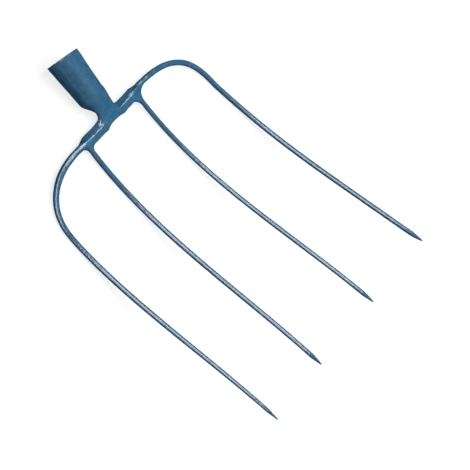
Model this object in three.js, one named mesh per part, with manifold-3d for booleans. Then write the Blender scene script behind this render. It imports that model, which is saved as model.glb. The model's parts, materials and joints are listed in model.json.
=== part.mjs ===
// A four-tined stable fork: the forged steel head alone, without its wooden handle.
//
// The head is thought of as a smith makes it. It is first laid out flat, as a blank with
// X to the right, Y towards the points of the tines and Z up out of the blank. The whole
// blank is then bent over a form, so that the tines rise from the crosshead in one curve.
// Last, the finished head is tipped to the slope at which it lies on a floor, on its tines
// and its socket.
// All lengths are in millimetres and all angles in degrees, unless a name says otherwise.

import * as THREE from 'three';
import { mergeVertices } from 'three/addons/utils/BufferGeometryUtils.js';
import Module from 'manifold-3d';

const wasm = await Module();
wasm.setup();

// The gap that is left where one piece is welded to the next
const weldGap = 0.3;

// The curve of the tines, seen from the side
const steepestAngle = 35.6;     // slope of the tines where they are steepest
const steepestAt = 228.7;       // distance along a tine at which it is steepest

// The whole head
const headWidth = 240;          // between the middles of the outer tines at their shoulders
const shoulderReach = 55;       // from the blank's middle line to the shoulders
const tineLength = 330;         // from the blank's middle line to the points
const tineDiameter = 5.5;

// The crosshead, a bar with a neck on one side and a stub for each inner tine on the other
const crossheadSpan = 116;      // between the two ends that carry the outer tines
const barWidth = 14;
const barThickness = 8.4;
const barMiddleY = -0.4;        // the bar sags a little between the two arms
const barBevel = 5.5;           // how far the top edge on the socket's side is set back
const armBevel = 1.8;           // the same where an arm ends
const armRoll = 28;             // how far an arm's end is rolled over towards the socket
const rollLength = 45;          // length of an outer tine over which the roll dies away
const stubReach = 16;           // from the blank's middle line to the weld of an inner tine
const armMiddleShare = 0.35;    // places along an arm, as shares of its length: its middle,
const armShoulderShare = 0.62;  // where it starts to narrow
const armRootShare = 0.83;      // and where it is as thin as the outer tine
const flankFootShare = 0.3;     // depth of a bevel's foot below the middle, of half the height

// The two arms are forged a little out of line: places of their middle line, and the fillets
// between an arm, its inner tine and the neck. All are shares of the bar's width.
const arms = [
  {
    side: -1,
    shares: {
      middleY: -0.007, shoulderY: -0.1, rootY: -0.321,
      innerFillet: 0.664, outerFillet: 0.9, neckFillet: 0.25,
    },
  },
  {
    side: 1,
    shares: {
      middleY: 0.2, shoulderY: 0.243, rootY: 0.236,
      innerFillet: 0.393, outerFillet: 0.464, neckFillet: 0.46,
    },
  },
];

// Two lumps that the hammer left on the bar's front edge: their places and lengths are shares
// of the crosshead's span, and their heights are shares of the bar's width
const lumpShares = [
  { place: -0.14, length: 0.05, height: 0.055 },
  { place: 0.106, length: 0.06, height: 0.085 },
];

// The neck, which joins the crosshead to the socket
const neckWidth = 24;
const neckAside = -0.4;         // the neck stands a little to the left
const neckThickness = 8.2;
const neckRise = 2.4;           // height of the neck's middle above the blank
const neckReach = 11;           // from the blank's middle line to the socket's weld
const neckBevel = 1.6;          // how far the top edges of its sides are set back at the weld

// The socket, a tapered tube that is pinched flat onto the neck at its closed end
const mouthDiameter = 36.6;
const heelDiameter = 30.8;
const socketWall = 1.8;
const socketLength = 63.5;      // from the weld on the neck to the mouth, along Y
const heelAt = 28;              // distance of the tube's round end behind the middle line
const heelAside = 1.6;          // how far the tube's round end stands to the right
const mouthDrop = 8.8;          // height of the mouth's centre below the blank
const heelDrop = 3.2;
const mouthTilt = 7;            // slope of the tube's axis
const socketTurn = 2;           // the tube points a little to one side
const mouthSkew = 4.5;          // the mouth is cut a little out of square
const pinchSwell = 0.8;         // how far the pinched plate stands out on the left, and where
const swellStartShare = 0.95;   // that starts, as a share of the way to the tube's round end
const boreDepth = 44;
const boreRoundShare = 0.75;    // where the bore starts to close, as a share of its depth
const boreEndShare = 0.25;      // how narrow it ends, as a share of its width

// The edges of the rolled plate meet on the underside, and a nail holds the handle
const seamWidth = 0.9;
const seamLength = 34;
const nailHoleDiameter = 4.5;
const nailHoleInset = 17;       // from the mouth's rim to the middle of the nail hole

// The points of the tines
const pointLength = 13;         // length of the sharpened end
const pointDiameter = 1;
const pointPower = 0.75;        // 1 is a straight cone, and less is rounder

// Each tine has its own shape, because the head is forged by hand. X and Y are places in
// the flat blank, and tipY is the length from the blank's middle line to the point. An outer
// tine turns at its shoulder. A pull is how far a curve holds on to its end's direction, and a
// sway is how far the middle of a tine stands outside the straight line. The power is that
// of its section. What each share is a share of is listed below the tines.
const outerTines = [
  {
    name: 'outer_tine_left', side: -1, power: 2.5,
    rootAngle: 0.4, shoulderLean: 6.6, tipLean: 8.2,
    shares: {
      rootY: -0.343, rootPull: 1.247, shoulderX: 0.507, shoulderY: 0.982, shoulderPull: 0.235,
      kneePull: 0.196, tipX: 0.562, tipY: 0.989, tipPull: 0.165,
      rootWidth: 1.2, shoulderWidth: 1, tipWidth: 0.89,
    },
  },
  {
    name: 'outer_tine_right', side: 1, power: 2,
    rootAngle: 6.7, shoulderLean: 7.3, tipLean: 1.5,
    shares: {
      rootY: 0.279, rootPull: 0.593, shoulderX: 0.491, shoulderY: 1.027, shoulderPull: 0.56,
      kneePull: 0.094, tipX: 0.517, tipY: 1.002, tipPull: 0.22,
      rootWidth: 1.34, shoulderWidth: 1.09, tipWidth: 0.69,
    },
  },
];

const innerTines = [
  {
    name: 'inner_tine_left', side: -1, power: 2.5,
    shares: {
      rootX: 0.1705, tipX: 0.172, sway: 0, tipY: 0.9945, rootWidth: 0.96, tipWidth: 0.82,
    },
  },
  {
    name: 'inner_tine_right', side: 1, power: 2,
    shares: {
      rootX: 0.1655, tipX: 0.208, sway: -0.0012, tipY: 0.997, rootWidth: 1.05, tipWidth: 0.9,
    },
  },
];

const wholes = {
  rootX: headWidth, rootY: barWidth, rootPull: shoulderReach,
  shoulderX: headWidth, shoulderY: shoulderReach, shoulderPull: shoulderReach,
  kneePull: tineLength, sway: headWidth, tipX: headWidth, tipY: tineLength, tipPull: tineLength,
  rootWidth: tineDiameter, shoulderWidth: tineDiameter, tipWidth: tineDiameter,
};

// How finely the curved surfaces are cut into flat ones
const tineSides = 12;
const tineStep = 7;
const bodySides = 28;
const barSteps = 36;
const socketSteps = 32;
const stubSteps = 12;
const curveStep = 0.5;          // step along the curve over which the blank is bent
const searchRounds = 30;        // halvings in the search for the slope at rest

// The outline of a section, as the power of its curve: 2 is an ellipse, and more is squarer
const roundPower = 2;
const squarePower = 3;
const armPower = 4.5;

const lacquer = { color: '#3d6a8a', roughness: 0.42, metalness: 0.35 };

const radians = (degrees) => THREE.MathUtils.degToRad(degrees);
const mix = THREE.MathUtils.lerp;
const smooth = THREE.MathUtils.smoothstep;
const flat = (x, y, z = 0) => new THREE.Vector3(x, y, z);
const upwards = flat(0, 0, 1);

// Takes the shares of an arm or a tine to real sizes
function sized({ shares, ...rest }, wholeOf) {
  const sizes = Object.entries(shares).map(([name, share]) => [name, share * wholeOf(name)]);
  return { ...rest, ...Object.fromEntries(sizes) };
}

const [armSizes, outerSizes, innerSizes] = [
  arms.map((arm) => sized(arm, () => barWidth)),
  outerTines.map((tine) => sized(tine, (name) => wholes[name])),
  innerTines.map((tine) => sized(tine, (name) => wholes[name])),
];

// Bending the blank

// The slope of the bent blank at a distance along it: it grows fast at first, then eases off
function slopeAt(distance) {
  const left = 1 - Math.max(distance, 0) / steepestAt;
  return radians(steepestAngle) * (1 - left * left);
}

// Side curve of the bent blank, as places one step apart
const longestTine = Math.max(...[...outerSizes, ...innerSizes].map((tine) => tine.tipY));
const sideCurve = [new THREE.Vector2(0, 0)];
for (let distance = 0; distance < longestTine + curveStep; distance += curveStep) {
  const slope = slopeAt(distance + curveStep / 2);
  const step = new THREE.Vector2(curveStep * Math.cos(slope), curveStep * Math.sin(slope));
  sideCurve.push(sideCurve[sideCurve.length - 1].clone().add(step));
}

// Takes a point of the flat blank to its place on the bent one
function bend(point) {
  if (point.y <= 0) return point;
  const whole = Math.min(Math.floor(point.y / curveStep), sideCurve.length - 2);
  const place = sideCurve[whole].clone().lerp(sideCurve[whole + 1], point.y / curveStep - whole);
  const slope = slopeAt(point.y);
  return flat(
    point.x,
    place.x - point.z * Math.sin(slope),
    place.y + point.z * Math.cos(slope),
  );
}

// Solids

// Leaves a geometry with nothing but its corners, each of them once
function bare(geometry) {
  geometry.deleteAttribute('normal');
  geometry.deleteAttribute('uv');
  return mergeVertices(geometry);
}

// A closed body with one ring of points for each step: section(share) gives the ring's
// centre, its axes across and up, its half sizes, and how square its corners are. The near
// side of a ring is the one that across points to. The top edge can be set back by a bevel
// on each side, the far side can swell, and the ring can be rolled over to the near side.
// The half widths of both sides can also come from widthsAt, for each share of their height.
function loft(section, sides, steps) {
  const geometry = new THREE.CylinderGeometry(1, 1, 1, sides, steps);
  const position = geometry.attributes.position;
  for (let i = 0; i < position.count; i += 1) {
    const {
      centre, across, up, halfWidth, halfHeight, power,
      bevel = 0, farBevel = 0, farSwell = 0, roll = 0,
      widthsAt = (rise) => [halfWidth - rise * bevel, halfWidth + farSwell - rise * farBevel],
    } = section(position.getY(i) + 1 / 2);
    const cosine = position.getX(i);
    const sine = position.getZ(i);
    const aside = Math.sign(cosine) * Math.abs(cosine) ** (roundPower / power);
    const above = Math.sign(sine) * Math.abs(sine) ** (roundPower / power);
    const rise = Math.max(above + flankFootShare, 0) / (1 + flankFootShare);
    const [nearWidth, farWidth] = widthsAt(rise);
    const x = aside * (aside > 0 ? nearWidth : farWidth);
    const y = above * halfHeight;
    const point = centre.clone()
      .addScaledVector(across, x * Math.cos(roll) + y * Math.sin(roll))
      .addScaledVector(up, y * Math.cos(roll) - x * Math.sin(roll));
    position.setXYZ(i, point.x, point.y, point.z);
  }
  return bare(geometry);
}

// A loft that follows a curve in the flat blank
function limb(curve, size, sides, steps) {
  return loft((share) => {
    const tangent = curve.getTangentAt(share);
    const across = flat(tangent.y, -tangent.x).normalize();
    return { centre: curve.getPointAt(share), across, up: upwards, ...size(share) };
  }, sides, steps);
}

function solidOf(geometry) {
  return new wasm.Manifold(new wasm.Mesh({
    numProp: 3,
    vertProperties: new Float32Array(geometry.attributes.position.array),
    triVerts: new Uint32Array(geometry.index.array),
  }));
}

function geometryOf(solid) {
  const mesh = solid.getMesh();
  const geometry = new THREE.BufferGeometry();
  geometry.setAttribute('position', new THREE.BufferAttribute(mesh.vertProperties, 3));
  geometry.setIndex(new THREE.BufferAttribute(mesh.triVerts, 1));
  return geometry;
}

// Bends a flat geometry with the blank
function bent(geometry) {
  const position = geometry.attributes.position;
  for (let i = 0; i < position.count; i += 1) {
    const point = bend(new THREE.Vector3().fromBufferAttribute(position, i));
    position.setXYZ(i, point.x, point.y, point.z);
  }
  return geometry;
}

function pieceOf(name, geometry) {
  geometry.computeVertexNormals();
  const mesh = new THREE.Mesh(geometry, new THREE.MeshStandardMaterial(lacquer));
  mesh.name = name;
  return mesh;
}

// How far a fillet stands out at a distance from the edge that it starts on
function filletReach(radius, distance) {
  const left = THREE.MathUtils.clamp(radius - distance, 0, radius);
  return radius - Math.sqrt(radius * radius - left * left);
}

// The crosshead: the bar, the neck and the two stubs are forged from one piece of steel

const barEnd = crossheadSpan / 2;

// The middle line of one arm, from the middle of the bar outwards
function armLine(arm, tine) {
  return [
    flat(arm.side * barEnd * armMiddleShare, arm.middleY),
    flat(arm.side * barEnd * armShoulderShare, arm.shoulderY),
    flat(arm.side * barEnd * armRootShare, arm.rootY),
    flat(arm.side * barEnd, tine.rootY),
  ];
}

// How far the lumps stand out of the front edge at a share of the way along the bar
function lumpAt(share) {
  return lumpShares.reduce((sum, { place, length, height }) => {
    const away = Math.abs(share - 1 / 2 - place);
    return sum + barWidth * height * (1 - smooth(away, 0, length));
  }, 0);
}

// The bar's near side is the one towards the socket
function makeBar() {
  const [left, right] = armSizes.map((arm, i) => armLine(arm, outerSizes[i]));
  const line = new THREE.CatmullRomCurve3([...left.reverse(), flat(0, barMiddleY), ...right]);
  return limb(line, (share) => {
    const endWidth = outerSizes[share < 1 / 2 ? 0 : 1].rootWidth;
    const body = 1 - smooth(Math.abs(2 * share - 1), armShoulderShare, armRootShare);
    return {
      halfWidth: mix(endWidth, barWidth, body) / 2,
      halfHeight: mix(endWidth, barThickness, body) / 2,
      power: mix(armPower, squarePower, body),
      bevel: mix(armBevel, barBevel, body),
      farSwell: lumpAt(share),
      roll: radians(armRoll) * (1 - body),
    };
  }, bodySides, barSteps);
}

// A stub starts on the arm's middle line, and a fillet of its own flares each of its sides
function makeStub(tine, i) {
  const arm = armSizes[i];
  const innerEdge = arm.shoulderY + barWidth / 2;
  const outerEdge = arm.rootY + outerSizes[i].rootWidth / 2;
  return loft((share) => {
    const y = mix(arm.rootY, stubReach, share);
    const inner = tine.rootWidth / 2 + filletReach(arm.innerFillet, y - innerEdge);
    const outer = tine.rootWidth / 2 + filletReach(arm.outerFillet, y - outerEdge);
    return {
      centre: flat(tine.side * (tine.rootX + (outer - inner) / 2), y),
      across: flat(1, 0),
      up: upwards,
      halfWidth: (inner + outer) / 2,
      halfHeight: mix(barThickness, tine.rootWidth, share) / 2,
      power: roundPower,
    };
  }, bodySides, stubSteps);
}

// How far one side of the neck stands out at a place, at a share of its flank's height. At its
// foot the side goes round the corner to the arm on a circle. Higher up the curve is a growing
// ellipse, so that its top meets the top of the arm's flank.
function neckWidthAt(arm, y, rise) {
  const radius = arm.neckFillet;
  const into = Math.max(y - arm.middleY + barWidth / 2 + radius, 0);
  const left = Math.max(1 - (into / (radius + barBevel * rise)) ** 2, 0);
  return neckWidth / 2 + radius - (radius + neckBevel * rise) * Math.sqrt(left);
}

// The neck ends on the bar, where the tops of the arms' flanks start
function makeNeck() {
  const [left, right] = armSizes;
  const start = flat(neckAside, -neckReach, neckRise);
  const end = flat(neckAside, Math.max(left.middleY, right.middleY) - barWidth / 2 + barBevel);
  return loft((share) => {
    const centre = start.clone().lerp(end, share);
    return {
      centre,
      across: flat(1, 0),
      up: upwards,
      halfWidth: neckWidth / 2,
      halfHeight: mix(neckThickness, barThickness, share) / 2,
      power: squarePower,
      widthsAt: (rise) => [neckWidthAt(right, centre.y, rise), neckWidthAt(left, centre.y, rise)],
    };
  }, bodySides, stubSteps);
}

const crossheadSolid = [makeNeck(), ...innerSizes.map(makeStub)]
  .map(solidOf)
  .reduce((sum, solid) => sum.add(solid), solidOf(makeBar()));
const crosshead = pieceOf('crosshead', bent(geometryOf(crossheadSolid)));

// The tines, tapered rods that end in a sharpened point

// Half width along a rod: the taper first, and then the sharpened end
function rodRadius(distanceToTip, width) {
  const sharp = Math.min(distanceToTip / pointLength, 1) ** pointPower;
  return mix(pointDiameter, width, sharp) / 2;
}

// A rod along a path in the flat blank, bent with it
function makeRod(name, path, shapeAt) {
  const length = path.getLength();
  const rod = limb(path, (share) => {
    const { width, ...shape } = shapeAt(share);
    const radius = rodRadius((1 - share) * length, width);
    return { halfWidth: radius, halfHeight: radius, ...shape };
  }, tineSides, Math.ceil(length / tineStep));
  return pieceOf(name, bent(rod));
}

// A place at a distance from a point, in a direction that leans from the first axis
function pulled(point, distance, alongX, alongY) {
  return point.clone().add(flat(alongX, alongY).multiplyScalar(distance));
}

function makeOuterTine(tine) {
  const { side } = tine;
  const [rootAngle, lean, tipLean] = [tine.rootAngle, tine.shoulderLean, tine.tipLean].map(radians);
  const root = flat(side * (barEnd + weldGap), tine.rootY);
  const shoulder = flat(side * tine.shoulderX, tine.shoulderY);
  const tip = flat(side * tine.tipX, tine.tipY);
  const arm = new THREE.CubicBezierCurve3(
    root,
    pulled(root, tine.rootPull, side * Math.cos(rootAngle), Math.sin(rootAngle)),
    pulled(shoulder, -tine.shoulderPull, side * Math.sin(lean), Math.cos(lean)),
    shoulder,
  );
  const prong = new THREE.CubicBezierCurve3(
    shoulder,
    pulled(shoulder, tine.kneePull, side * Math.sin(lean), Math.cos(lean)),
    pulled(tip, -tine.tipPull, side * Math.sin(tipLean), Math.cos(tipLean)),
    tip,
  );
  const path = new THREE.CurvePath();
  path.add(arm);
  path.add(prong);
  const length = path.getLength();
  const bendShare = arm.getLength() / length;
  return makeRod(tine.name, path, (share) => {
    const alongArm = Math.min(share / bendShare, 1);
    const alongProng = Math.max((share - bendShare) / (1 - bendShare), 0);
    const width = mix(tine.rootWidth, tine.shoulderWidth, alongArm);
    const armShape = 1 - smooth(share * length, 0, rollLength);
    return {
      width: mix(width, tine.tipWidth, alongProng ** 2),
      power: mix(tine.power, armPower, armShape),
      [side > 0 ? 'bevel' : 'farBevel']: armBevel * armShape,
      roll: side * radians(armRoll) * armShape,
    };
  });
}

function makeInnerTine(tine) {
  const root = flat(tine.side * tine.rootX, stubReach + weldGap);
  const tip = flat(tine.side * tine.tipX, tine.tipY);
  const middle = root.clone().lerp(tip, 1 / 2);
  middle.x += tine.side * 2 * tine.sway;
  const path = new THREE.QuadraticBezierCurve3(root, middle, tip);
  return makeRod(tine.name, path, (share) => ({
    width: mix(tine.rootWidth, tine.tipWidth, share ** 2),
    power: mix(roundPower, tine.power, share),
  }));
}

// The socket: a tube of plate, rolled to a taper and closed at the neck

const heelShare = (socketLength + neckReach - heelAt) / socketLength;

// One section of the tube, at a share of the way from the mouth to the neck
function socketSection(share, inset) {
  const y = mix(-neckReach - socketLength, -neckReach - weldGap, share);
  const taper = Math.min(share / heelShare, 1);
  const closing = smooth(share, heelShare, 1);
  const radius = mix(mouthDiameter, heelDiameter, taper) / 2;
  const middle = mix(-mouthDrop, -heelDrop, taper);
  const top = mix(middle + radius, neckRise + neckThickness / 2, closing);
  const bottom = mix(middle - radius, neckRise - neckThickness / 2, closing);
  const tilt = radians(mouthTilt) * (1 - closing);
  const aside = heelAside + (heelAt + y) * Math.tan(radians(socketTurn));
  const skew = radians(mouthSkew) * (1 - smooth(share, 0, heelShare));
  return {
    centre: flat(mix(aside, neckAside, closing), y, (top + bottom) / 2),
    across: flat(1, -Math.tan(skew)),
    up: flat(0, -Math.sin(tilt), Math.cos(tilt)),
    halfWidth: mix(radius, neckWidth / 2, closing) - inset,
    halfHeight: (top - bottom) / 2 - inset,
    power: mix(roundPower, squarePower, closing),
    bevel: neckBevel * closing,
    farBevel: neckBevel * closing,
    farSwell: pinchSwell * smooth(share / heelShare, swellStartShare, 1) * (1 - closing),
  };
}

// The bore starts one step before the mouth, and closes in a round end
function makeBore() {
  return loft((share) => {
    const section = socketSection(mix(-1 / socketSteps, boreDepth / socketLength, share), socketWall);
    const left = 1 - Math.max((share - boreRoundShare) / (1 - boreRoundShare), 0) ** 2;
    const size = mix(boreEndShare, 1, Math.sqrt(left));
    return { ...section, halfWidth: section.halfWidth * size, halfHeight: section.halfHeight * size };
  }, bodySides, socketSteps);
}

// A narrow slit through the bottom wall, from before the mouth to the seam's end
function makeSeam() {
  return loft((share) => {
    const section = socketSection(mix(-1 / socketSteps, seamLength / socketLength, share), 0);
    const centre = section.centre.clone().addScaledVector(section.up, -section.halfHeight);
    return { ...section, centre, halfWidth: seamWidth / 2, halfHeight: 2 * socketWall };
  }, tineSides, socketSteps);
}

// A hole from the middle of the bore out through the left wall
function makeNailHole() {
  const { centre, across, halfWidth } = socketSection(nailHoleInset / socketLength, 0);
  const radius = nailHoleDiameter / 2;
  const length = halfWidth + socketWall;
  const hole = new THREE.CylinderGeometry(radius, radius, length, bodySides);
  const outwards = across.clone().normalize().negate();
  hole.applyQuaternion(new THREE.Quaternion().setFromUnitVectors(flat(0, 1), outwards));
  const middle = centre.clone().addScaledVector(outwards, length / 2);
  hole.translate(middle.x, middle.y, middle.z);
  return bare(hole);
}

const socketSolid = [makeBore(), makeSeam(), makeNailHole()]
  .map(solidOf)
  .reduce(
    (rest, cut) => rest.subtract(cut),
    solidOf(loft((share) => socketSection(share, 0), bodySides, socketSteps)),
  );
const socket = pieceOf('socket', geometryOf(socketSolid));

// The head lies on the underside of its tines and of its socket. A search halves the range
// of slopes until the two touch the floor together.

const tines = [...outerSizes.map(makeOuterTine), ...innerSizes.map(makeInnerTine)];

// The lowest height that some pieces reach when the head slopes down to its points
function lowestOf(pieces, slope) {
  return Math.min(...pieces.map(({ geometry: { attributes: { position } } }) => {
    let lowest = Infinity;
    for (let i = 0; i < position.count; i += 1) {
      const height = position.getZ(i) * Math.cos(slope) - position.getY(i) * Math.sin(slope);
      lowest = Math.min(lowest, height);
    }
    return lowest;
  }));
}

let [restSlope, tooSteep] = [0, radians(steepestAngle)];
for (let round = 0; round < searchRounds; round += 1) {
  const slope = (restSlope + tooSteep) / 2;
  if (lowestOf([socket], slope) < lowestOf(tines, slope)) restSlope = slope;
  else tooSteep = slope;
}

const head = new THREE.Group();
head.add(socket, crosshead, ...tines);
head.rotation.x = -restSlope;

const fork = new THREE.Group();
fork.add(head);
fork.updateMatrixWorld(true);
const box = new THREE.Box3().setFromObject(fork, true);
const centre = box.getCenter(new THREE.Vector3());
head.position.set(-centre.x, -centre.y, -box.min.z);

export default fork;
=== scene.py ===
# %% [markdown]
# # A stable fork head, forged and lacquered blue
#
# A stable fork lifts straw and muck. Its head is one piece of steel: a tapered socket for
# the wooden handle, a crosshead, and four long tines. A smith forges and forge-welds the
# parts, sharpens the points and dips the whole head in blue lacquer.
#
# This lesson builds the head in the way it was made. Each part is drawn in a flat blank,
# with X to the right, Y towards the points and Z up. The forging is melted into one body,
# cut again where the real pieces were welded, and the blank is then bent over a curve.
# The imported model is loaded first: its box says where the head lies, and its nodes give
# the pieces their names.

# %% Load the frame
import json
import math

import bmesh
import bpy
import numpy as np
from mathutils import Matrix, Quaternion, Vector, geometry, noise

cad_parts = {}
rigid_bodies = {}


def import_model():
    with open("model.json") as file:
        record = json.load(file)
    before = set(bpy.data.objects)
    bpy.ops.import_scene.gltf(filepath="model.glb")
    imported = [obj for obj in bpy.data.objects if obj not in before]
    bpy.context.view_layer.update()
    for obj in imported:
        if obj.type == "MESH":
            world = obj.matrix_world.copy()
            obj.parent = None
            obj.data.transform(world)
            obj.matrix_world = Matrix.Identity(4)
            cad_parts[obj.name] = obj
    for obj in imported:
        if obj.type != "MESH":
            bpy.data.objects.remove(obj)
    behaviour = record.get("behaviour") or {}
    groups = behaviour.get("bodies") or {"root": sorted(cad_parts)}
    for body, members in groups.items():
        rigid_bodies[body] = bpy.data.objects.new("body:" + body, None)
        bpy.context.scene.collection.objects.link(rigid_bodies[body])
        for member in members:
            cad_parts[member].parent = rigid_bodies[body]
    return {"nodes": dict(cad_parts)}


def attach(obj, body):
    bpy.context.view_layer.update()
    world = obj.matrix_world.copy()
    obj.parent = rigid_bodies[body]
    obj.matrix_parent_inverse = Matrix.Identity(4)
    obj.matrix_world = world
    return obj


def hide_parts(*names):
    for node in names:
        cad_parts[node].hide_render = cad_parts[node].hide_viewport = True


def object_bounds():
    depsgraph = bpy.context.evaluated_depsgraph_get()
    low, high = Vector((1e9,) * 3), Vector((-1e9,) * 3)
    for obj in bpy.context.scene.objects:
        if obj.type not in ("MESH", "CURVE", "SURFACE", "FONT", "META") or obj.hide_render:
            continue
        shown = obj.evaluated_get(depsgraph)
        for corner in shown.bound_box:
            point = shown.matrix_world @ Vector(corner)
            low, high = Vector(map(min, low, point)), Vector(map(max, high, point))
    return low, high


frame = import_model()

cad_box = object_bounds()
print("nodes of the frame:", sorted(frame["nodes"]))
print("box of the frame in metres:", [[round(value, 4) for value in corner] for corner in cad_box])

# %% [markdown]
# ## The camera
#
# A camera is best set before any shape, because every shape is judged through it. The
# picture was taken from high up on the right, with a long lens and a turned camera, so
# that the fork lies across the frame. Blender aims a camera with a tracking rotation,
# and a roll about its own axis then turns the picture.

# %% Camera
camera_place = Vector((0.6137, -0.0853, 1.1937))
camera_target = Vector((-0.0007, 0.0529, 0.0206))
camera_roll = math.radians(57.77)
lens_length = 99.89
sensor_width = 36.0

camera_data = bpy.data.cameras.new("camera")
camera_data.lens = lens_length
camera_data.sensor_width = sensor_width
camera = bpy.data.objects.new("camera", camera_data)
bpy.context.scene.collection.objects.link(camera)
aim = (camera_target - camera_place).to_track_quat("-Z", "Y")
roll = Quaternion((0.0, 0.0, 1.0), camera_roll)
camera.matrix_world = Matrix.LocRotScale(camera_place, aim @ roll, None)
bpy.context.scene.camera = camera
print("camera to target:", round((camera_target - camera_place).length, 3), "m")

# %% [markdown]
# ## The blank and its bend
#
# All sizes are in millimetres until the pieces are finished. The tines rise from the
# crosshead in one curve: their slope grows fast at first and then eases off. A Simple
# Deform modifier only bends to an even arc, so the bend is worked out here. A table of
# places along the curve turns any point of the flat blank into a point of the bent one.

# %% Bend
steepest_angle = math.radians(35.6)
steepest_at = 228.7
curve_step = 0.5
curve_length = 340.0


def slope_at(distance):
    """The slope of the bent blank at a distance along it."""
    left = 1 - np.maximum(distance, 0) / steepest_at
    return steepest_angle * (1 - left**2)


distances = np.arange(0, curve_length, curve_step)
slopes = slope_at(distances + curve_step / 2)
curve_y = np.concatenate([[0], np.cumsum(np.cos(slopes))]) * curve_step
curve_z = np.concatenate([[0], np.cumsum(np.sin(slopes))]) * curve_step


def bend(points):
    """Takes points of the flat blank to their places on the bent one."""
    x, y, z = points.T
    along = np.maximum(y, 0)
    places = np.arange(len(curve_y)) * curve_step
    slope = slope_at(along)
    new_y = np.interp(along, places, curve_y) - z * np.sin(slope)
    new_z = np.interp(along, places, curve_z) + z * np.cos(slope)
    behind = y <= 0
    return np.stack([x, np.where(behind, y, new_y), np.where(behind, z, new_z)], axis=1)


print("the bend rises", round(float(curve_z[-1])), "mm over its whole length")

# %% [markdown]
# ## Rings, skins and meshes
#
# Forged parts are lofts: a stack of rings with a skin over them. They could be pulled out
# of boxes and subdivided, but rings keep every width and height at its real size. A ring
# is an ellipse, squarer where the power of its curve is above 2 and more pointed where it
# is below. A flank can be set back towards its top edge, as a hammer leaves it.

# %% Loft helpers
round_power = 2.0
square_power = 3.0
flank_foot_share = 0.3
body_sides = 72


def mix(start, end, share):
    """The value at a share of the way from start to end."""
    return start + (end - start) * share


def smooth(value, low, high):
    """Rises from 0 at low to 1 at high, with soft ends."""
    share = np.clip((value - low) / (high - low), 0, 1)
    return share * share * (3 - 2 * share)


def flat(x, y, z=0.0):
    """A point of the flat blank, or a direction in it."""
    return np.array([x, y, z], float)


def ring(
    centre, across, up, half_width, half_height, power=round_power,
    bevel=0.0, far_bevel=0.0, far_swell=0.0, widths_at=None, roll=0.0, sides=body_sides,
):
    """One ring of points round a centre; its near side is the one that across points to.

    The half widths of both sides can also come from widths_at, for each share of a flank's height.
    """
    turn = np.arange(sides) / sides * 2 * math.pi
    aside = np.sign(np.cos(turn)) * np.abs(np.cos(turn)) ** (round_power / power)
    above = np.sign(np.sin(turn)) * np.abs(np.sin(turn)) ** (round_power / power)
    near = np.maximum(aside, 0)
    far = np.minimum(aside, 0)
    rise = np.maximum(above + flank_foot_share, 0) / (1 + flank_foot_share)
    near_width, far_width = widths_at(rise) if widths_at else (
        half_width - rise * bevel, half_width + far_swell - rise * far_bevel
    )
    x = near * near_width + far * far_width
    y = above * half_height
    along_across = x * math.cos(roll) + y * math.sin(roll)
    along_up = y * math.cos(roll) - x * math.sin(roll)
    return centre + np.outer(along_across, across) + np.outer(along_up, up)


def mesh_of(name, stacks):
    """A mesh that holds one closed skin for each stack of rings."""
    points = []
    faces = []
    for rings in stacks:
        first = sum(len(part) for part in points)
        sides = len(rings[0])
        for i in range(len(rings) - 1):
            low = first + i * sides
            for j in range(sides):
                k = (j + 1) % sides
                faces.append((low + j, low + k, low + sides + k, low + sides + j))
        top = first + (len(rings) - 1) * sides
        faces.append(tuple(range(first + sides - 1, first - 1, -1)))
        faces.append(tuple(range(top, top + sides)))
        points.append(np.concatenate(rings))
    mesh = bpy.data.meshes.new(name)
    mesh.from_pydata(np.concatenate(points).tolist(), [], faces)
    tidy = bmesh.new()
    tidy.from_mesh(mesh)
    bmesh.ops.recalc_face_normals(tidy, faces=tidy.faces)
    tidy.to_mesh(mesh)
    tidy.free()
    return mesh


def object_of(name, mesh):
    new_object = bpy.data.objects.new(name, mesh)
    bpy.context.scene.collection.objects.link(new_object)
    return new_object


def applied(helper):
    """The mesh of an object with its modifiers applied; the object is removed."""
    graph = bpy.context.evaluated_depsgraph_get()
    mesh = bpy.data.meshes.new_from_object(helper.evaluated_get(graph))
    bpy.data.objects.remove(helper)
    return mesh


print("points in a ring of the body:", body_sides)

# %% [markdown]
# ## Curves to sweep along
#
# A line through a few places, held by Bezier handles, is what a smith's eye makes of a
# bent bar. A curve object with a bevel could follow it, but its section keeps one shape.
# So each line is sampled finely and measured out again in even steps, and the rings of a
# loft lie on those.

# %% Curve helpers
fine_samples = 400


def even_line(points, steps):
    """Points in even steps along a line, and its direction at each of them."""
    lengths = np.concatenate([[0], np.cumsum(np.linalg.norm(np.diff(points, axis=0), axis=1))])
    shares = np.linspace(0, lengths[-1], steps + 1)
    line = np.stack([np.interp(shares, lengths, points[:, k]) for k in range(3)], axis=1)
    tangent = np.gradient(line, axis=0)
    return line, tangent / np.linalg.norm(tangent, axis=1)[:, None]


def bezier(start, start_handle, end_handle, end):
    corners = [Vector(point) for point in (start, start_handle, end_handle, end)]
    return np.array(geometry.interpolate_bezier(*corners, fine_samples))


def through(places):
    """A smooth line through places whose speed follows the distance between them."""
    places = [2 * places[0] - places[1], *places, 2 * places[-1] - places[-2]]
    line = []
    for p0, p1, p2, p3 in zip(places, places[1:], places[2:], places[3:]):
        t0, t1, t2 = (math.sqrt(np.linalg.norm(b - a)) for a, b in ((p0, p1), (p1, p2), (p2, p3)))
        leave = ((p1 - p0) / t0 - (p2 - p0) / (t0 + t1) + (p2 - p1) / t1) * t1
        arrive = ((p2 - p1) / t1 - (p3 - p1) / (t1 + t2) + (p3 - p2) / t2) * t1
        line.append(bezier(p1, p1 + leave / 3, p2 - arrive / 3, p2))
    return np.concatenate([part[:-1] for part in line[:-1]] + [line[-1]])


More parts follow.
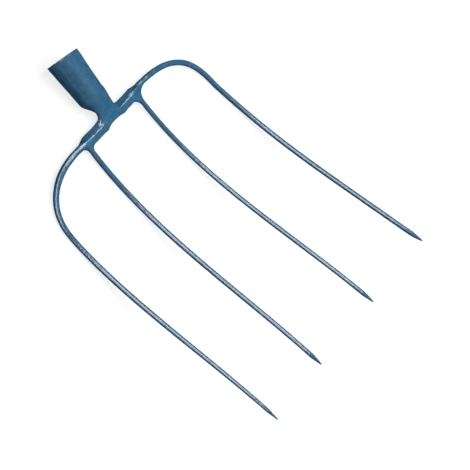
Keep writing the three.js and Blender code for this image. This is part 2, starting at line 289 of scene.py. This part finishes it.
def side_of(tangent):
    """The level direction to the right of a line in the blank."""
    across = flat(tangent[1], -tangent[0])
    return across / np.linalg.norm(across)


upwards = flat(0, 0, 1)
print("places sampled on each curve:", fine_samples)

# %% [markdown]
# ## The crosshead
#
# The crosshead is a bar with an arm on each side, forged thinner towards the ends where
# the outer tines are welded on. The two arms are not alike: each is a little out of line,
# and each inner tine stands on its own stub with its own fillets. A mirrored half would be
# quicker, but it would look cast, not forged.

# %% Sizes of the head
weld_gap = 0.3
head_width = 240.0
shoulder_reach = 55.0
tine_length = 330.0
tine_diameter = 5.5

bar_end = 58.0
bar_width = 14.0
bar_thickness = 8.4
bar_middle_y = -0.4
bar_bevel = 5.5
arm_bevel = 1.8
arm_roll = math.radians(28)
roll_length = 45.0
stub_reach = 16.0
arm_middle_share = 0.35
arm_shoulder_share = 0.62
arm_root_share = 0.83
print("the bar's ends stand", round(head_width / 2 - bar_end), "mm inside the shoulders")

# %% [markdown]
# ## The uneven hand of the smith
#
# No two arms or tines are alike, so each has its own small table. All of its values are
# shares: of the bar's width for the arms, and of the head's own sizes for the tines. A tine
# follows Bezier curves, and a pull is how far a curve holds on to its end's direction.

# %% Tables of shares
arm_shares = [
    {
        "middle_y": -0.007, "shoulder_y": -0.1, "root_y": -0.321,
        "inner_fillet": 0.664, "outer_fillet": 0.9, "neck_fillet": 0.25,
    },
    {
        "middle_y": 0.2, "shoulder_y": 0.243, "root_y": 0.236,
        "inner_fillet": 0.393, "outer_fillet": 0.464, "neck_fillet": 0.46,
    },
]
outer_shares = [
    {
        "root_y": -0.343, "root_pull": 1.247, "shoulder_x": 0.507, "shoulder_y": 0.982,
        "shoulder_pull": 0.235, "knee_pull": 0.196, "tip_x": 0.562, "tip_y": 0.989,
        "tip_pull": 0.165, "root_width": 1.2, "shoulder_width": 1.0, "tip_width": 0.89,
    },
    {
        "root_y": 0.279, "root_pull": 0.593, "shoulder_x": 0.491, "shoulder_y": 1.027,
        "shoulder_pull": 0.56, "knee_pull": 0.094, "tip_x": 0.517, "tip_y": 1.002,
        "tip_pull": 0.22, "root_width": 1.34, "shoulder_width": 1.09, "tip_width": 0.69,
    },
]
inner_shares = [
    {
        "root_x": 0.1705, "tip_x": 0.172, "sway": 0.0, "tip_y": 0.9945,
        "root_width": 0.96, "tip_width": 0.82,
    },
    {
        "root_x": 0.1655, "tip_x": 0.208, "sway": -0.0012, "tip_y": 0.997,
        "root_width": 1.05, "tip_width": 0.9,
    },
]
wholes = {
    "root_x": head_width, "root_y": bar_width, "root_pull": shoulder_reach,
    "shoulder_x": head_width, "shoulder_y": shoulder_reach, "shoulder_pull": shoulder_reach,
    "knee_pull": tine_length, "sway": head_width, "tip_x": head_width, "tip_y": tine_length,
    "tip_pull": tine_length, "root_width": tine_diameter, "shoulder_width": tine_diameter,
    "tip_width": tine_diameter,
}
print("tables of shares:", len(arm_shares) + len(outer_shares) + len(inner_shares))

# %% Real sizes of each arm and tine
side_signs = (-1, 1)
# The left tines are a little square in section, and the right ones a little ridged.
tine_powers = {"left": 2.5, "right": 1.7}
# The way that each outer tine starts, and how far its shoulder and its tip lean outwards.
outer_degrees = [
    {"root_angle": 0.4, "shoulder_lean": 6.6, "tip_lean": 8.2},
    {"root_angle": 6.7, "shoulder_lean": 7.3, "tip_lean": 1.5},
]

arms = [
    {"side": side} | {key: share * bar_width for key, share in shares.items()}
    for side, shares in zip(side_signs, arm_shares)
]
outer_tines, inner_tines = (
    [
        {"side": side} | {key: share * wholes[key] for key, share in shares.items()}
        for side, shares in zip(side_signs, table)
    ]
    for table in (outer_shares, inner_shares)
)
for side_name, outer_tine, inner_tine in zip(tine_powers, outer_tines, inner_tines):
    outer_tine.update(name="outer_tine_" + side_name, power=tine_powers[side_name])
    inner_tine.update(name="inner_tine_" + side_name, power=tine_powers[side_name])
for tine, angles in zip(outer_tines, outer_degrees):
    tine.update({key: math.radians(angle) for key, angle in angles.items()})
for tine in outer_tines + inner_tines:
    print(tine["name"], "reaches", round(tine["tip_y"]), "mm from the bar")

# %% Bar with both arms
bar_steps = 240
arm_power = 4.5
lump_shares = ((-0.14, 0.05, 0.055), (0.106, 0.06, 0.085))


def arm_line(arm, tine):
    """Four places along the middle of an arm, from the neck outwards."""
    return [
        flat(arm["side"] * bar_end * arm_middle_share, arm["middle_y"]),
        flat(arm["side"] * bar_end * arm_shoulder_share, arm["shoulder_y"]),
        flat(arm["side"] * bar_end * arm_root_share, arm["root_y"]),
        flat(arm["side"] * bar_end, tine["root_y"]),
    ]


def lump_at(share):
    """How far the lumps stand out of the front edge at a share of the way along the bar."""
    return sum(
        bar_width * height * (1 - smooth(abs(share - 1 / 2 - place), 0, length))
        for place, length, height in lump_shares
    )


def bar_rings():
    left, right = (arm_line(arm, tine) for arm, tine in zip(arms, outer_tines))
    line, tangents = even_line(through([*left[::-1], flat(0, bar_middle_y), *right]), bar_steps)
    rings = []
    for i, (centre, tangent) in enumerate(zip(line, tangents)):
        share = i / bar_steps
        end_width = outer_tines[0 if share < 1 / 2 else 1]["root_width"]
        body = 1 - smooth(abs(2 * share - 1), arm_shoulder_share, arm_root_share)
        rings.append(ring(
            centre, side_of(tangent), upwards,
            mix(end_width, bar_width, body) / 2,
            mix(end_width, bar_thickness, body) / 2,
            mix(arm_power, square_power, body),
            bevel=mix(arm_bevel, bar_bevel, body),
            far_swell=lump_at(share),
            roll=arm_roll * (1 - body),
        ))
    return rings


bar_stack = bar_rings()
print("rings along the bar:", len(bar_stack))

# %% Stubs of the inner tines
stub_steps = 40


def fillet_reach(radius, distance):
    """How far a fillet stands out at a distance from the edge that it starts on."""
    left = np.clip(radius - distance, 0, radius)
    return radius - math.sqrt(radius**2 - left**2)


def stub_rings(arm, tine, outer_tine):
    """A stub, flared on each side by a fillet of its own."""
    inner_edge = arm["shoulder_y"] + bar_width / 2
    outer_edge = arm["root_y"] + outer_tine["root_width"] / 2
    rings = []
    for share in np.linspace(0, 1, stub_steps + 1):
        y = mix(arm["root_y"], stub_reach, share)
        inner = tine["root_width"] / 2 + fillet_reach(arm["inner_fillet"], y - inner_edge)
        outer = tine["root_width"] / 2 + fillet_reach(arm["outer_fillet"], y - outer_edge)
        centre = flat(tine["side"] * (tine["root_x"] + (outer - inner) / 2), y)
        half_height = mix(bar_thickness, tine["root_width"], share) / 2
        rings.append(ring(centre, flat(1, 0), upwards, (inner + outer) / 2, half_height))
    return rings


stub_stacks = [stub_rings(*shapes) for shapes in zip(arms, inner_tines, outer_tines)]
print("rings along each stub:", len(stub_stacks[0]))

# %% [markdown]
# ## The neck
#
# The neck rises a little from the bar and takes the socket. On the real head its sides run
# into the arms round soft corners. A boolean join would leave those sharp, so the neck's
# rings widen towards the bar by a formula that goes round them.

# %% Neck
neck_width = 24.0
neck_aside = -0.4
neck_thickness = 8.2
neck_rise = 2.4
neck_reach = 11.0
neck_bevel = 1.6
neck_overlap = 0.6
neck_steps = 40


def neck_width_at(arm, y, rise):
    """How far one side of the neck stands out at a place, at a share of its flank's height.

    At its foot the side goes round the corner to the arm on a circle. Higher up the curve is a
    growing ellipse, so that its top meets the top of the arm's flank.
    """
    radius = arm["neck_fillet"]
    into = max(y - arm["middle_y"] + bar_width / 2 + radius, 0)
    left = np.maximum(1 - (into / (radius + bar_bevel * rise)) ** 2, 0)
    return neck_width / 2 + radius - (radius + neck_bevel * rise) * np.sqrt(left)


def neck_rings():
    start = flat(neck_aside, -neck_reach - neck_overlap, neck_rise)
    end = flat(neck_aside, max(arm["middle_y"] for arm in arms) - bar_width / 2 + bar_bevel)
    left, right = arms
    rings = []
    for share in np.linspace(0, 1, neck_steps + 1):
        centre = mix(start, end, share)
        half_height = mix(neck_thickness, bar_thickness, share) / 2
        rings.append(ring(
            centre, flat(1, 0), upwards, neck_width / 2, half_height, square_power,
            widths_at=lambda rise: [neck_width_at(arm, centre[1], rise) for arm in (right, left)],
        ))
    return rings


neck_stack = neck_rings()
print("rings of the neck:", len(neck_stack))

# %% [markdown]
# ## The socket
#
# The socket is a tube rolled from plate and pinched flat at its closed end. A spun profile
# could make its round part, but not the way it goes from round to flat. So one stack of
# rings makes the tube with its bore: it runs from the neck to the mouth on the outside,
# over the rim, and back down the inside.

# %% Sizes of the socket
mouth_diameter = 36.6
heel_diameter = 30.8
socket_wall = 1.8
socket_length = 63.5
heel_at = 28.0
heel_aside = 1.6
mouth_drop = 8.8
heel_drop = 3.2
mouth_tilt = math.radians(7)
socket_turn = math.radians(2)
mouth_skew = math.radians(4.5)
pinch_swell = 0.8
swell_start_share = 0.95
bore_depth = 44.0
bore_round_share = 0.75
bore_end_share = 0.25
mouth_widths = [mouth_diameter, round(mouth_diameter - 2 * socket_wall, 1)]
print("width of the mouth in millimetres, outside and inside:", mouth_widths)

# %% Tube with its bore
socket_steps = 120
heel_share = (socket_length + neck_reach - heel_at) / socket_length


def socket_section(share, inset):
    """One section of the tube, at a share of the way from the mouth to the neck."""
    y = mix(-neck_reach - socket_length, -neck_reach - weld_gap, share)
    taper = min(share / heel_share, 1)
    closing = smooth(share, heel_share, 1)
    radius = mix(mouth_diameter, heel_diameter, taper) / 2
    middle = mix(-mouth_drop, -heel_drop, taper)
    top = mix(middle + radius, neck_rise + neck_thickness / 2, closing)
    bottom = mix(middle - radius, neck_rise - neck_thickness / 2, closing)
    tilt = mouth_tilt * (1 - closing)
    aside = heel_aside + (heel_at + y) * math.tan(socket_turn)
    skew = mouth_skew * (1 - smooth(share, 0, heel_share))
    return {
        "centre": flat(mix(aside, neck_aside, closing), y, (top + bottom) / 2),
        "across": flat(1, -math.tan(skew)),
        "up": flat(0, -math.sin(tilt), math.cos(tilt)),
        "half_width": mix(radius, neck_width / 2, closing) - inset,
        "half_height": (top - bottom) / 2 - inset,
        "power": mix(round_power, square_power, closing),
        "bevel": neck_bevel * closing,
        "far_bevel": neck_bevel * closing,
        "far_swell": pinch_swell * smooth(share / heel_share, swell_start_share, 1) * (1 - closing),
    }


def tube_rings():
    """The outside from the neck to the mouth, and then the bore from the mouth to its end."""
    outside = [ring(**socket_section(share, 0)) for share in np.linspace(1, 0, socket_steps + 1)]
    inside = []
    for share in np.linspace(0, 1, socket_steps + 1):
        section = socket_section(share * bore_depth / socket_length, socket_wall)
        left = 1 - max((share - bore_round_share) / (1 - bore_round_share), 0) ** 2
        size = mix(bore_end_share, 1, math.sqrt(left))
        section["half_width"] *= size
        section["half_height"] *= size
        inside.append(ring(**section))
    return outside + inside


tube_stack = tube_rings()
print("rings of the tube:", len(tube_stack))

# %% [markdown]
# ## The seam and the nail hole
#
# The edges of the rolled plate meet along the underside of the socket, and a nail through
# its wall holds the handle. Holes don't fit into a stack of closed rings, so both are cut
# out of the finished tube by a boolean modifier.

# %% Seam and nail hole
seam_width = 0.9
seam_length = 34.0
nail_hole_diameter = 4.5
nail_hole_inset = 17.0


def seam_rings():
    """A narrow slit through the bottom wall, where the edges of the plate meet."""
    rings = []
    for share in np.linspace(-1 / socket_steps, seam_length / socket_length, socket_steps):
        section = socket_section(share, 0)
        section["centre"] = section["centre"] - section["up"] * section["half_height"]
        section["half_width"] = seam_width / 2
        section["half_height"] = 2 * socket_wall
        rings.append(ring(**section))
    return rings


def nail_hole_rings():
    """A rod through the left wall, as wide as the nail's hole."""
    section = socket_section(nail_hole_inset / socket_length, 0)
    outwards = -section["across"] / np.linalg.norm(section["across"])
    sideways = flat(-outwards[1], outwards[0])
    reach = section["half_width"] + socket_wall
    radius = nail_hole_diameter / 2
    return [
        ring(section["centre"] + outwards * far, sideways, upwards, radius, radius)
        for far in (0, reach)
    ]


def cut_by(target, rings):
    """Takes a closed skin away from an object."""
    cutter = object_of("cutter", mesh_of("cutter", [rings]))
    difference = target.modifiers.new("cut", "BOOLEAN")
    difference.operation = "DIFFERENCE"
    difference.solver = "EXACT"
    difference.object = cutter
    mesh = applied(target)
    bpy.data.objects.remove(cutter)
    return object_of("tube", mesh)


tube = cut_by(object_of("tube", mesh_of("tube", [tube_stack])), seam_rings())
tube = cut_by(tube, nail_hole_rings())
print("faces of the cut tube:", len(tube.data.polygons))

# %% [markdown]
# ## The tines
#
# Each tine is a tapered rod. The outer ones turn at the shoulder, so they take two Bezier
# curves; the inner ones are almost straight. The last stretch is hammered and ground to a
# point. A bevelled curve with a taper could draw a round tine, but the outer ones turn
# square towards their arms, so tines are stacks of rings as well.

# %% Paths of the tines
root_overlap = 3.0


def outer_path(tine):
    """The line of an outer tine, and the length of its arm up to the shoulder."""
    side = tine["side"]
    root = flat(side * (bar_end + weld_gap), tine["root_y"])
    shoulder = flat(side * tine["shoulder_x"], tine["shoulder_y"])
    tip = flat(side * tine["tip_x"], tine["tip_y"])
    root_way = flat(side * math.cos(tine["root_angle"]), math.sin(tine["root_angle"]))
    shoulder_way = flat(side * math.sin(tine["shoulder_lean"]), math.cos(tine["shoulder_lean"]))
    tip_way = flat(side * math.sin(tine["tip_lean"]), math.cos(tine["tip_lean"]))
    arm = bezier(
        root, root + root_way * tine["root_pull"],
        shoulder - shoulder_way * tine["shoulder_pull"], shoulder,
    )
    prong = bezier(
        shoulder, shoulder + shoulder_way * tine["knee_pull"],
        tip - tip_way * tine["tip_pull"], tip,
    )
    arm_length = np.linalg.norm(np.diff(arm, axis=0), axis=1).sum()
    before = root - root_way * root_overlap
    return np.concatenate([[before], arm, prong[1:]]), arm_length


def inner_path(tine):
    root = flat(tine["side"] * tine["root_x"], stub_reach + weld_gap)
    tip = flat(tine["side"] * tine["tip_x"], tine["tip_y"])
    middle = (root + tip) / 2
    middle[0] += tine["side"] * 2 * tine["sway"]
    line = bezier(root, mix(root, middle, 2 / 3), mix(tip, middle, 2 / 3), tip)
    way = (line[1] - line[0]) / np.linalg.norm(line[1] - line[0])
    return np.concatenate([[root - way * root_overlap], line])


arm_lengths = [round(float(outer_path(tine)[1])) for tine in outer_tines]
print("from the root to the shoulder, in millimetres:", arm_lengths)

# %% Rings of the tines
tine_sides = 40
tine_step = 1.2
point_length = 13.0
point_diameter = 1.0
point_power = 0.75


def rod_rings(path, shape_at):
    """Rings along a path, in the shape that shape_at gives and sharpened at the end."""
    length = np.linalg.norm(np.diff(path, axis=0), axis=1).sum()
    line, tangents = even_line(path, round(length / tine_step))
    rings = []
    for i, (centre, tangent) in enumerate(zip(line, tangents)):
        along = i / (len(line) - 1) * length
        sharp = min((length - along) / point_length, 1) ** point_power
        width, shape = shape_at(max(along - root_overlap, 0), length - root_overlap)
        radius = mix(point_diameter, width, sharp) / 2
        rings.append(ring(centre, side_of(tangent), upwards, radius, radius, sides=tine_sides, **shape))
    return rings


def outer_rings(tine):
    path, arm_length = outer_path(tine)

    def shape_at(along, length):
        width = mix(tine["root_width"], tine["shoulder_width"], min(along / arm_length, 1))
        beyond = max((along - arm_length) / (length - arm_length), 0)
        root = 1 - smooth(along, 0, roll_length)
        shape = {
            "power": mix(tine["power"], arm_power, root),
            "bevel" if tine["side"] > 0 else "far_bevel": arm_bevel * root,
            "roll": arm_roll * tine["side"] * root,
        }
        return mix(width, tine["tip_width"], beyond**2), shape

    return rod_rings(path, shape_at)


def inner_rings(tine):
    def shape_at(along, length):
        share = along / length
        width = mix(tine["root_width"], tine["tip_width"], share**2)
        return width, {"power": mix(round_power, tine["power"], share)}

    return rod_rings(inner_path(tine), shape_at)


tine_rings = {tine["name"]: outer_rings(tine) for tine in outer_tines}
tine_rings |= {tine["name"]: inner_rings(tine) for tine in inner_tines}
print("rings on each tine:", {name: len(rings) for name, rings in tine_rings.items()})

# %% [markdown]
# ## Forging the pieces together
#
# Where the pieces were hammered together, the real surface runs on without a seam. Lofts
# that only cross would leave sharp creases, so all of them, with the first stretch of each
# tine, are melted into one body by a voxel remesh and smoothed. Noise then moves its skin,
# and later that of the tines, in by a tenth of a millimetre or so, as a hammer does.

# %% Melt the forging into one body
voxel_size = 0.5
smooth_rounds = 14
shared_stretch = 14.0

shared_rings = round(shared_stretch / tine_step)
stacks = [bar_stack, neck_stack, *stub_stacks]
stacks += [rings[:shared_rings] for rings in tine_rings.values()]

melt = bmesh.new()
melt.from_mesh(mesh_of("lofts", stacks))
melt.from_mesh(applied(tube))
body_mesh = bpy.data.meshes.new("forging")
melt.to_mesh(body_mesh)
melt.free()
body = object_of("forging", body_mesh)
remesh = body.modifiers.new("melt", "REMESH")
remesh.mode = "VOXEL"
remesh.voxel_size = voxel_size
soften = body.modifiers.new("soften", "SMOOTH")
soften.iterations = smooth_rounds
forging = applied(body)
print("faces of the melted body:", len(forging.polygons))

# %% Hammer its skin
hammer_depth = 0.25
tine_hammer_depth = 0.1
hammer_size = 11.0


def points_of(mesh):
    """The places of a mesh's vertices, one row each."""
    values = np.empty(len(mesh.vertices) * 3)
    mesh.vertices.foreach_get("co", values)
    return values.reshape(-1, 3)


def set_points(mesh, points):
    mesh.vertices.foreach_set("co", points.ravel())
    mesh.update()


def hammered(mesh, deepest):
    """Moves the skin in here and there, by no more than the deepest blow."""
    points = points_of(mesh)
    normals = np.array([vertex.normal for vertex in mesh.vertices])
    depth = np.array([noise.noise(Vector(point) / hammer_size) for point in points])
    set_points(mesh, points - normals * (deepest * (1 + depth) / 2)[:, None])


smooth_skin = points_of(forging)
hammered(forging, hammer_depth)
blows = np.linalg.norm(points_of(forging) - smooth_skin, axis=1)
print("mean depth of the blows:", round(float(blows.mean()), 3), "mm")

# %% [markdown]
# ## Cutting at the welds
#
# Each real piece stays a piece of its own, so the body is cut on the planes of the welds,
# and each cut is closed with a flat face. A boolean could cut it too, but a plane is faster
# and leaves every other point where it was. The same planes trim the roots of the tines.

# %% Cut at the welds
weld_x = bar_end + weld_gap / 2
weld_y = stub_reach + weld_gap / 2
neck_y = -neck_reach


def kept(mesh, place, outwards):
    """A copy of the mesh without what lies beyond a plane, closed with a flat face."""
    work = bmesh.new()
    work.from_mesh(mesh)
    everything = work.verts[:] + work.edges[:] + work.faces[:]
    bmesh.ops.bisect_plane(
        work, geom=everything, plane_co=place, plane_no=outwards, clear_outer=True
    )
    for face in work.faces:
        face.smooth = True
    rim = [edge for edge in work.edges if edge.is_boundary]
    lids = bmesh.ops.edgeloop_fill(work, edges=rim)["faces"]
    for lid in lids:
        lid.smooth = False
        for edge in lid.edges:
            edge.smooth = False
    bmesh.ops.recalc_face_normals(work, faces=work.faces)
    cut = bpy.data.meshes.new(mesh.name)
    work.to_mesh(cut)
    work.free()
    return cut


middle = kept(forging, (weld_x, 0, 0), (1, 0, 0))
middle = kept(middle, (-weld_x, 0, 0), (-1, 0, 0))
middle = kept(middle, (0, weld_y, 0), (0, 1, 0))
meshes = {
    "crosshead": kept(middle, (0, neck_y, 0), (0, -1, 0)),
    "socket": kept(middle, (0, neck_y, 0), (0, 1, 0)),
}
root_planes = [((tine["side"] * weld_x, 0, 0), (-tine["side"], 0, 0)) for tine in outer_tines]
root_planes += [((0, weld_y, 0), (0, -1, 0)) for tine in inner_tines]
for tine, plane in zip(outer_tines + inner_tines, root_planes):
    rod = mesh_of(tine["name"], [tine_rings[tine["name"]]])
    hammered(rod, tine_hammer_depth)
    meshes[tine["name"]] = kept(rod, *plane)
print("faces of each piece:", {name: len(mesh.polygons) for name, mesh in meshes.items()})

# %% [markdown]
# ## Bending the head and laying it down
#
# The finished blank is bent, tipped to the slope at which the head lies on its tines and
# on its socket, and moved so that its box shares the middle and the floor of the frame's.

# %% Place the pieces
rest_slope = math.radians(15.89)
millimetre = 0.001

lay_down = np.array(Matrix.Rotation(-rest_slope, 3, "X")).T
placed = {name: bend(points_of(mesh)) @ lay_down * millimetre for name, mesh in meshes.items()}
all_points = np.concatenate(list(placed.values()))
low, high = all_points.min(axis=0), all_points.max(axis=0)
frame_low, frame_high = (np.array(corner) for corner in cad_box)
shift = (frame_low + frame_high - low - high) / 2
shift[2] = frame_low[2] - low[2]
pieces = {}
for name, mesh in meshes.items():
    set_points(mesh, placed[name] + shift)
    pieces[name] = object_of(name + "_lacquered", mesh)
print("shift in millimetres:", np.round(shift / millimetre, 3))

# %% [markdown]
# ## The lacquer
#
# The head is steel under a blue stoving lacquer: a smooth paint with a colour that deepens
# where it runs thick, a faint orange peel, and a shine that is a little duller in patches.
# Small dents of the hammer show through it and break up the highlights. They could be
# moved points, as the wide ones are, but bump will do for dents of a few millimetres. Paint
# isn't a metal: the metallic value is zero.
#
# Real lacquer shines most at its outline. The picture shows dark outlines and no bright
# rims, so here the shine is full where the surface faces the eye and fades towards its
# outline. The fade follows the picture and not nature, and an exported model loses it.

# %% Colours
srgb_knee = 0.04045
srgb_slope = 12.92
srgb_offset = 0.055
srgb_power = 2.4
lacquer_deep = "#315f7f"
lacquer_pale = "#3b6b8b"


def linear(code):
    """A hex colour as the linear values that a shader takes, by the sRGB formula."""
    values = []
    for start in (1, 3, 5):
        value = int(code[start : start + 2], 16) / 255
        curved = ((value + srgb_offset) / (1 + srgb_offset)) ** srgb_power
        values.append(value / srgb_slope if value <= srgb_knee else curved)
    return [*values, 1.0]


print("the deep blue in linear values:", [round(value, 3) for value in linear(lacquer_deep)])

# %% Lacquer and its mottle
mottle_size = 6.0 * millimetre
mottle_octaves = 3.0
mottle_roughness = 0.55
deep_below = 0.35
pale_above = 0.65


def add(material, kind, inputs=(), links=(), **settings):
    """Adds a node, sets its options and values, and links its inputs."""
    node = material.node_tree.nodes.new(kind)
    for name, value in settings.items():
        setattr(node, name, value)
    for name, value in dict(inputs).items():
        node.inputs[name].default_value = value
    for name, source in dict(links).items():
        material.node_tree.links.new(source, node.inputs[name])
    return node


lacquer = bpy.data.materials.new("blue_stoving_lacquer")
lacquer.use_nodes = True
lacquer.node_tree.nodes.clear()
place = add(lacquer, "ShaderNodeTexCoord").outputs["Object"]
mottle = add(
    lacquer, "ShaderNodeTexNoise",
    {"Scale": 1 / mottle_size, "Detail": mottle_octaves, "Roughness": mottle_roughness},
    {"Vector": place},
)
tint = add(lacquer, "ShaderNodeValToRGB", links={"Fac": mottle.outputs["Fac"]})
deep_stop, pale_stop = tint.color_ramp.elements
deep_stop.position = deep_below
deep_stop.color = linear(lacquer_deep)
pale_stop.position = pale_above
pale_stop.color = linear(lacquer_pale)
print("patches of the mottle on each centimetre:", round(10 * millimetre / mottle_size, 1))

# %% Dents and orange peel
dent_size = 3.5 * millimetre
dent_depth = 0.25 * millimetre
peel_size = 1.2 * millimetre
peel_depth = 0.015 * millimetre
relief_octaves = 1.0

dents = add(
    lacquer, "ShaderNodeTexNoise",
    {"Scale": 1 / dent_size, "Detail": relief_octaves}, {"Vector": place},
)
dented = add(lacquer, "ShaderNodeBump", {"Distance": dent_depth}, {"Height": dents.outputs["Fac"]})
peel = add(
    lacquer, "ShaderNodeTexNoise",
    {"Scale": 1 / peel_size, "Detail": relief_octaves}, {"Vector": place},
)
relief = add(
    lacquer, "ShaderNodeBump", {"Distance": peel_depth},
    {"Height": peel.outputs["Fac"], "Normal": dented.outputs["Normal"]},
)
print("a dent is as wide as", round(dent_size / peel_size, 1), "bumps of the peel")

# %% Shine and coat
# The refractive index of a lacquer is about 1.5, like that of glass.
lacquer_ior = 1.5
sharpest_roughness = 0.13
dullest_roughness = 0.19
full_gloss = 1.0
# The shine fades between these values of Facing, which is 0 where the surface faces the eye.
fade_start = 0.04
fade_end = 0.16

shine = add(
    lacquer, "ShaderNodeMapRange",
    {"To Min": sharpest_roughness, "To Max": dullest_roughness}, {"Value": mottle.outputs["Fac"]},
)
facing = add(lacquer, "ShaderNodeLayerWeight", links={"Normal": relief.outputs["Normal"]})
gloss = add(
    lacquer, "ShaderNodeMapRange",
    {"From Min": fade_start, "From Max": fade_end, "To Min": full_gloss, "To Max": 0.0},
    {"Value": facing.outputs["Facing"]},
)
coat = add(
    lacquer, "ShaderNodeBsdfPrincipled",
    {"IOR": lacquer_ior, "Metallic": 0.0},
    {
        "Base Color": tint.outputs["Color"],
        "Roughness": shine.outputs["Result"],
        "Specular IOR Level": gloss.outputs["Result"],
        "Normal": relief.outputs["Normal"],
    },
)
add(lacquer, "ShaderNodeOutputMaterial", links={"Surface": coat.outputs["BSDF"]})
print("lacquer nodes:", len(lacquer.node_tree.nodes))

# %% [markdown]
# ## The paper
#
# The picture's ground is plain white, and paper stands for it here. A plane would end in a
# hard line in low views, so the paper is a round floor that sweeps up to a low wall far
# away. To what looks at it, the camera and the reflections, it is a grey paper with a white
# glow, so that it is white and still takes the soft shadow. To all other light it is a pale
# paper without a glow.

# %% Sheet of paper
floor_radius = 8.0
sweep_radius = 1.5
wall_height = 2.0
floor_sides = 64
sweep_steps = 12
join_distance = 0.001

profile = [(0.0, 0.0), (floor_radius, 0.0)]
for turn in np.linspace(0, math.pi / 2, sweep_steps)[1:]:
    profile.append((floor_radius + sweep_radius * math.sin(turn), sweep_radius * (1 - math.cos(turn))))
profile.append((floor_radius + sweep_radius, wall_height))
floor_mesh = bpy.data.meshes.new("paper")
spin = bmesh.new()
line = [spin.verts.new((radius, 0.0, height)) for radius, height in profile]
edges = [spin.edges.new(pair) for pair in zip(line, line[1:])]
bmesh.ops.spin(
    spin, geom=line + edges, axis=(0, 0, 1), cent=(0, 0, 0), angle=2 * math.pi, steps=floor_sides,
)
bmesh.ops.remove_doubles(spin, verts=spin.verts, dist=join_distance)
for face in spin.faces:
    face.smooth = True
spin.to_mesh(floor_mesh)
spin.free()
floor = object_of("paper", floor_mesh)
floor.location.z = cad_box[0][2]
print("faces of the paper:", len(floor_mesh.polygons))

# %% Finish of the paper
paper_seen = "#909090"
paper_thrown = "#c0c0c0"
paper_lift = 0.8

paper = bpy.data.materials.new("matt_white_paper")
paper.use_nodes = True
paper.node_tree.nodes.clear()
path = add(paper, "ShaderNodeLightPath")
seen = add(
    paper, "ShaderNodeMath",
    links={0: path.outputs["Is Camera Ray"], 1: path.outputs["Is Glossy Ray"]}, operation="MAXIMUM",
)
looked_at = add(
    paper, "ShaderNodeMath",
    links={0: seen.outputs[0], 1: path.outputs["Is Transmission Ray"]}, operation="MAXIMUM",
)
paper_colour = add(
    paper, "ShaderNodeMix", {"A": linear(paper_thrown), "B": linear(paper_seen)},
    {"Factor": looked_at.outputs[0]}, data_type="RGBA",
)
paper_face = add(paper, "ShaderNodeBsdfDiffuse", links={"Color": paper_colour.outputs["Result"]})
lift = add(
    paper, "ShaderNodeMath", {1: paper_lift}, {0: looked_at.outputs[0]}, operation="MULTIPLY",
)
paper_glow = add(paper, "ShaderNodeEmission", links={"Strength": lift.outputs[0]})
paper_sum = add(paper, "ShaderNodeAddShader", links={0: paper_face.outputs[0], 1: paper_glow.outputs[0]})
add(paper, "ShaderNodeOutputMaterial", links={"Surface": paper_sum.outputs[0]})
floor.data.materials.append(paper)
print("paper nodes:", len(paper.node_tree.nodes))

# %% [markdown]
# ## The light
#
# Two soft boxes on the socket's side make the highlights: a long one for the tines and a
# shorter, deeper one for the left shoulder. They light nothing else. A third one, almost
# overhead, lights the steel and the paper and makes no highlight, and a dim sky fills the
# shadows. A bright sky could do it all, but soft boxes give the highlights their edges.

# %% Sky
sky_colour = "#ffffff"
sky_strength = 0.1

world = bpy.data.worlds.new("studio")
bpy.context.scene.world = world
world.use_nodes = True
background = world.node_tree.nodes["Background"]
background.inputs["Color"].default_value = linear(sky_colour)
background.inputs["Strength"].default_value = sky_strength
bpy.context.scene.view_settings.view_transform = "Standard"
print("strength of the sky:", sky_strength)

# %% Soft boxes
hanging_distance = 3.0
soft_lean_x = math.radians(6)
soft_lean_y = math.radians(-25)
soft_length = 7.6
soft_depth = 1.2
soft_power = 142.0
end_lean_x = math.radians(-40)
end_lean_y = math.radians(-32)
end_length = 1.7
end_depth = 2.9
end_power = 170.0
fill_lean_x = math.radians(-10)
fill_lean_y = math.radians(16)
fill_size = 2.4
fill_power = 106.0


def hang(name, lean_x, lean_y, length, depth, power):
    """A soft box that hangs in a direction from the fork, with its length along X."""
    data = bpy.data.lights.new(name, "AREA")
    data.shape = "RECTANGLE"
    data.size = length
    data.size_y = depth
    data.energy = power
    away = Vector((math.tan(lean_x), math.tan(lean_y), 1)).normalized()
    side = Vector((1, 0, 0))
    side = (side - away * side.dot(away)).normalized()
    turn = Matrix((side, away.cross(side), away)).transposed()
    lamp = bpy.data.objects.new(name, data)
    lamp.matrix_world = Matrix.LocRotScale(away * hanging_distance, turn.to_quaternion(), None)
    lamp.visible_camera = False
    bpy.context.scene.collection.objects.link(lamp)
    return lamp


soft_box = hang("soft_box", soft_lean_x, soft_lean_y, soft_length, soft_depth, soft_power)
end_box = hang("end_box", end_lean_x, end_lean_y, end_length, end_depth, end_power)
for lamp in (soft_box, end_box):
    lamp.visible_diffuse = False
fill_box = hang("fill_box", fill_lean_x, fill_lean_y, fill_size, fill_size, fill_power)
fill_box.visible_glossy = False
print("soft boxes hung:", [lamp.name for lamp in (soft_box, end_box, fill_box)])

# %% [markdown]
# ## Handing the pieces to the frame
#
# Each lacquered piece stands for the node of the same name and rides on the one body that
# the head has.

for name, piece in pieces.items():
    piece.data.materials.append(lacquer)
    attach(piece, "root")
    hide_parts(name)
